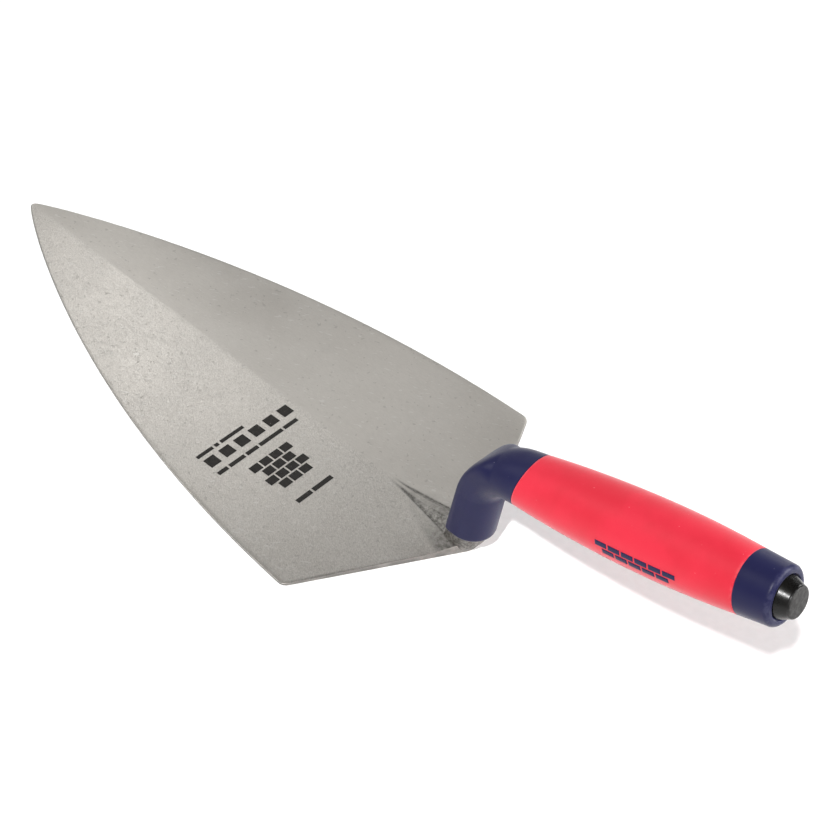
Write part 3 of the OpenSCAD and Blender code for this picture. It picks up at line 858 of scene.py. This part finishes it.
def black_cap():
    m, colour, roughness, normal = moulded(
        "black_cap", base=(0.003, 0.003, 0.003), lighter=(0.006, 0.0055, 0.005),
        worn=(0.05, 0.05, 0.05), rough=0.28, speck=(0.14, 0.14, 0.14))
    scuff = m.ranged(m.noise(500, 4.0, 0.7), 0.35, 0.7, 0.15, 0.9)
    face = m.maths("MULTIPLY", m.mask("face"), scuff)
    colour = m.mixed(face, colour, (0.065, 0.062, 0.060))
    roughness = m.maths("ADD", roughness, m.maths("MULTIPLY", m.mask("face"), 0.28))
    return m.finish(colour, roughness, normal, Specular_IOR_Level=0.3)


def mark_ink():
    m = Recipe("mark_ink")
    patchy = m.noise(900, 3.0, 0.6)
    colour = m.mixed(m.ranged(patchy, 0.3, 0.7), (0.010, 0.009, 0.008), (0.022, 0.020, 0.018))
    flecks = m.ranged(m.noise(1600, 2.0, 0.6), 0.68, 0.74, 0.0, 0.5)
    colour = m.mixed(flecks, colour, (0.30, 0.29, 0.27))
    return m.finish(colour, m.ranged(patchy, 0.3, 0.7, 0.5, 0.62), m.bump(patchy, 0.1, 0.0001),
                    Specular_IOR_Level=0.25)


# ---------------------------------------------------------------- pieces

steel_look, navy_look, red_look, black_look = steel(), navy_plastic(), red_grip(), black_cap()
build("forged_steel", [blade_part(), shank_part()], steel_look, ["forged_blade"], 50)
build("hood_and_core", [hood_part(), barrel_part()], navy_look, ["handle_core"])
build("rear_collar", [collar_part()], navy_look, ["handle_core"])
build("raised_bricks", brick_parts(), navy_look, ["handle_core"])
build("soft_sleeve", [sleeve_part()], red_look, ["grip_sleeve"])
build("butt_cap", [cap_part()], black_look, ["strike_cap"])
build("printed_mark", ink_parts(), mark_ink())


# ---------------------------------------------------------------- studio

MIDDLE_X, MIDDLE_Z, BUTT_Z = 147, 10, 80  # where the lights aim, in millimetres
blade_middle = Vector(((shift_x + MIDDLE_X) * MM, 0, MIDDLE_Z * MM))
butt_end = Vector((cad_box[1].x, 0, BUTT_Z * MM))

FLOOR_REACH, FLOOR_DROP = 1.0, 0.0002
BAND_HEIGHTS, BAND_LIGHT = (0.35, 0.75), 0.4


def studio_floor():
    mesh = bpy.data.meshes.new("studio_floor")
    signs = ((-1, -1), (1, -1), (1, 1), (-1, 1))
    mesh.from_pydata([(x * FLOOR_REACH, y * FLOOR_REACH, -FLOOR_DROP) for x, y in signs], [], [(0, 1, 2, 3)])
    m = Recipe("studio_paper")
    fibre = m.noise(300, 3.0, 0.5)
    colour = m.mixed(m.ranged(fibre, 0.3, 0.7), (0.90, 0.90, 0.90), (0.93, 0.93, 0.93))
    mesh.materials.append(m.finish(colour, 0.9, None))
    floor = bpy.data.objects.new("studio_floor", mesh)
    bpy.context.scene.collection.objects.link(floor)


def soft_box(name, aim, azimuth, elevation, distance, size, power, shadow=True):
    """A round panel shining on the point aim, from an azimuth and elevation in degrees."""
    light = bpy.data.lights.new(name, "AREA")
    light.shape, light.size, light.energy, light.use_shadow = "DISK", size, power, shadow
    obj = bpy.data.objects.new(name, light)
    a, e = np.radians([azimuth, elevation])
    towards = Vector((np.cos(a) * np.cos(e), np.sin(a) * np.cos(e), np.sin(e)))
    obj.location = aim + towards * distance
    obj.rotation_mode = "QUATERNION"
    obj.rotation_quaternion = towards.to_track_quat("Z", "Y")
    bpy.context.scene.collection.objects.link(obj)


def studio_world():
    """Plain white for the camera, and a band of soft light near the horizon for everything else."""
    world = bpy.data.worlds.new("studio")
    bpy.context.scene.world = world
    world.use_nodes = True
    tree = world.node_tree
    tree.nodes.clear()
    new, link = tree.nodes.new, tree.links.new
    out, back = new("ShaderNodeOutputWorld"), new("ShaderNodeBackground")
    seen, plain = new("ShaderNodeMixShader"), new("ShaderNodeBackground")
    plain.inputs[0].default_value = (1, 1, 1, 1)
    plain.inputs[1].default_value = 1.0
    path = new("ShaderNodeLightPath")
    link(path.outputs["Is Camera Ray"], seen.inputs[0])
    link(back.outputs[0], seen.inputs[1])
    link(plain.outputs[0], seen.inputs[2])
    link(seen.outputs[0], out.inputs[0])
    height = new("ShaderNodeSeparateXYZ")
    link(new("ShaderNodeTexCoord").outputs["Generated"], height.inputs[0])
    band = new("ShaderNodeMapRange")
    band.interpolation_type = "SMOOTHSTEP"
    link(height.outputs["Z"], band.inputs["Value"])
    for key, number in zip(("From Min", "From Max", "To Min", "To Max"), (*BAND_HEIGHTS, BAND_LIGHT, 0.0)):
        band.inputs[key].default_value = number
    link(band.outputs[0], back.inputs[1])


CAMERA_FROM_TOE = (0.553703, -0.3895, 0.51285)  # in metres, from the toe's place on the floor
CAMERA_TURN = (46.4074, -5.6816, 44.0387)  # in degrees, about X, Y and Z
SENSOR_WIDTH, LENS = 36.0, 77.14


def studio_camera():
    data = bpy.data.cameras.new("camera")
    data.sensor_width, data.lens = SENSOR_WIDTH, LENS
    data.clip_start, data.clip_end = 0.01, 50.0
    camera = bpy.data.objects.new("camera", data)
    camera.location = Vector((cad_box[0].x, 0, 0)) + Vector(CAMERA_FROM_TOE)
    camera.rotation_euler = np.radians(CAMERA_TURN)
    bpy.context.scene.collection.objects.link(camera)
    bpy.context.scene.camera = camera


# Azimuths and elevations in degrees, and each fill's and panel's power in watts
KEY_DIRECTION = (-72.2, 53.3)
KEY_DISTANCE, KEY_SIZE, KEY_POWER = 3.0, 0.13, 82.0
FILLS = (("fill_front_left", 225, 45, 1.7), ("fill_back_right", 30, 25, 2.9), ("fill_back", 90, 25, 1.05))
BLADE_PANELS = ((120, 40, 0.08), (150, 40, 0.14), (160, 40, 0.07), (137, 50, 0.1))
FILL_DISTANCE, FILL_SIZE = 0.75, 0.30
PANEL_DISTANCE, PANEL_SIZE = 0.6, 0.16

studio_floor()
studio_world()
studio_camera()
soft_box("key_light", butt_end, *KEY_DIRECTION, KEY_DISTANCE, KEY_SIZE, KEY_POWER)
for name, azimuth, elevation, power in FILLS:
    soft_box(name, blade_middle, azimuth, elevation, FILL_DISTANCE, FILL_SIZE, power, shadow=False)
for number, (azimuth, elevation, power) in enumerate(BLADE_PANELS):
    soft_box(f"blade_panel_{number}", blade_middle, azimuth, elevation, PANEL_DISTANCE, PANEL_SIZE, power)
bpy.context.scene.view_settings.view_transform = "Standard"
bpy.context.scene.view_settings.look = "None"
